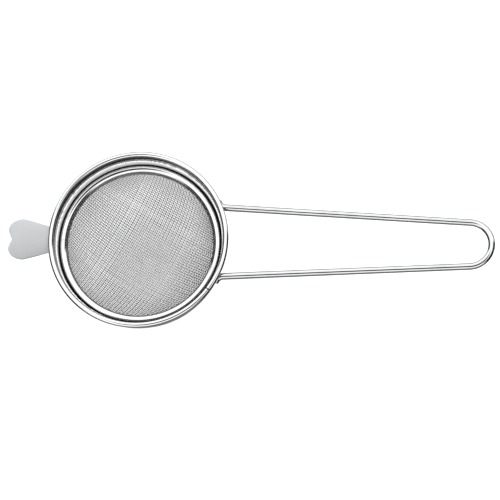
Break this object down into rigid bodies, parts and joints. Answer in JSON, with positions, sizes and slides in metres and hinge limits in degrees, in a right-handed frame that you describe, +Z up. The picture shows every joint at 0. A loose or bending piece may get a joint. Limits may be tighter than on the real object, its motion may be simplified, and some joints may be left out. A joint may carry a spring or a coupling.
{
  "type": "tea strainer",
  "caption": "Stainless tea strainer: woven wire bowl clamped in a rolled-edge hoop, with a hairpin wire handle and a heart-shaped rest tab.",
  "frame": {"origin": "middle of the footprint, at the height of the bowl's lowest point", "axes": "+X along the handle, away from the bowl; +Z up out of the bowl's mouth"},
  "size_m": [0.1882, 0.07, 0.0397],
  "materials": {
    "polished_steel": "mirror-polished stainless sheet",
    "polished_wire": "mirror-polished stainless wire",
    "wire_cloth": "bright drawn stainless wire, plain weave",
    "satin_steel": "satin stainless sheet"
  },
  "bodies": {
    "root": {"rim_hoop": "polished_steel", "clamp_ring": "polished_steel", "mesh_bowl": "wire_cloth", "handle_wire": "polished_wire", "rest_tab": "satin_steel"}
  },
  "joints": []
}
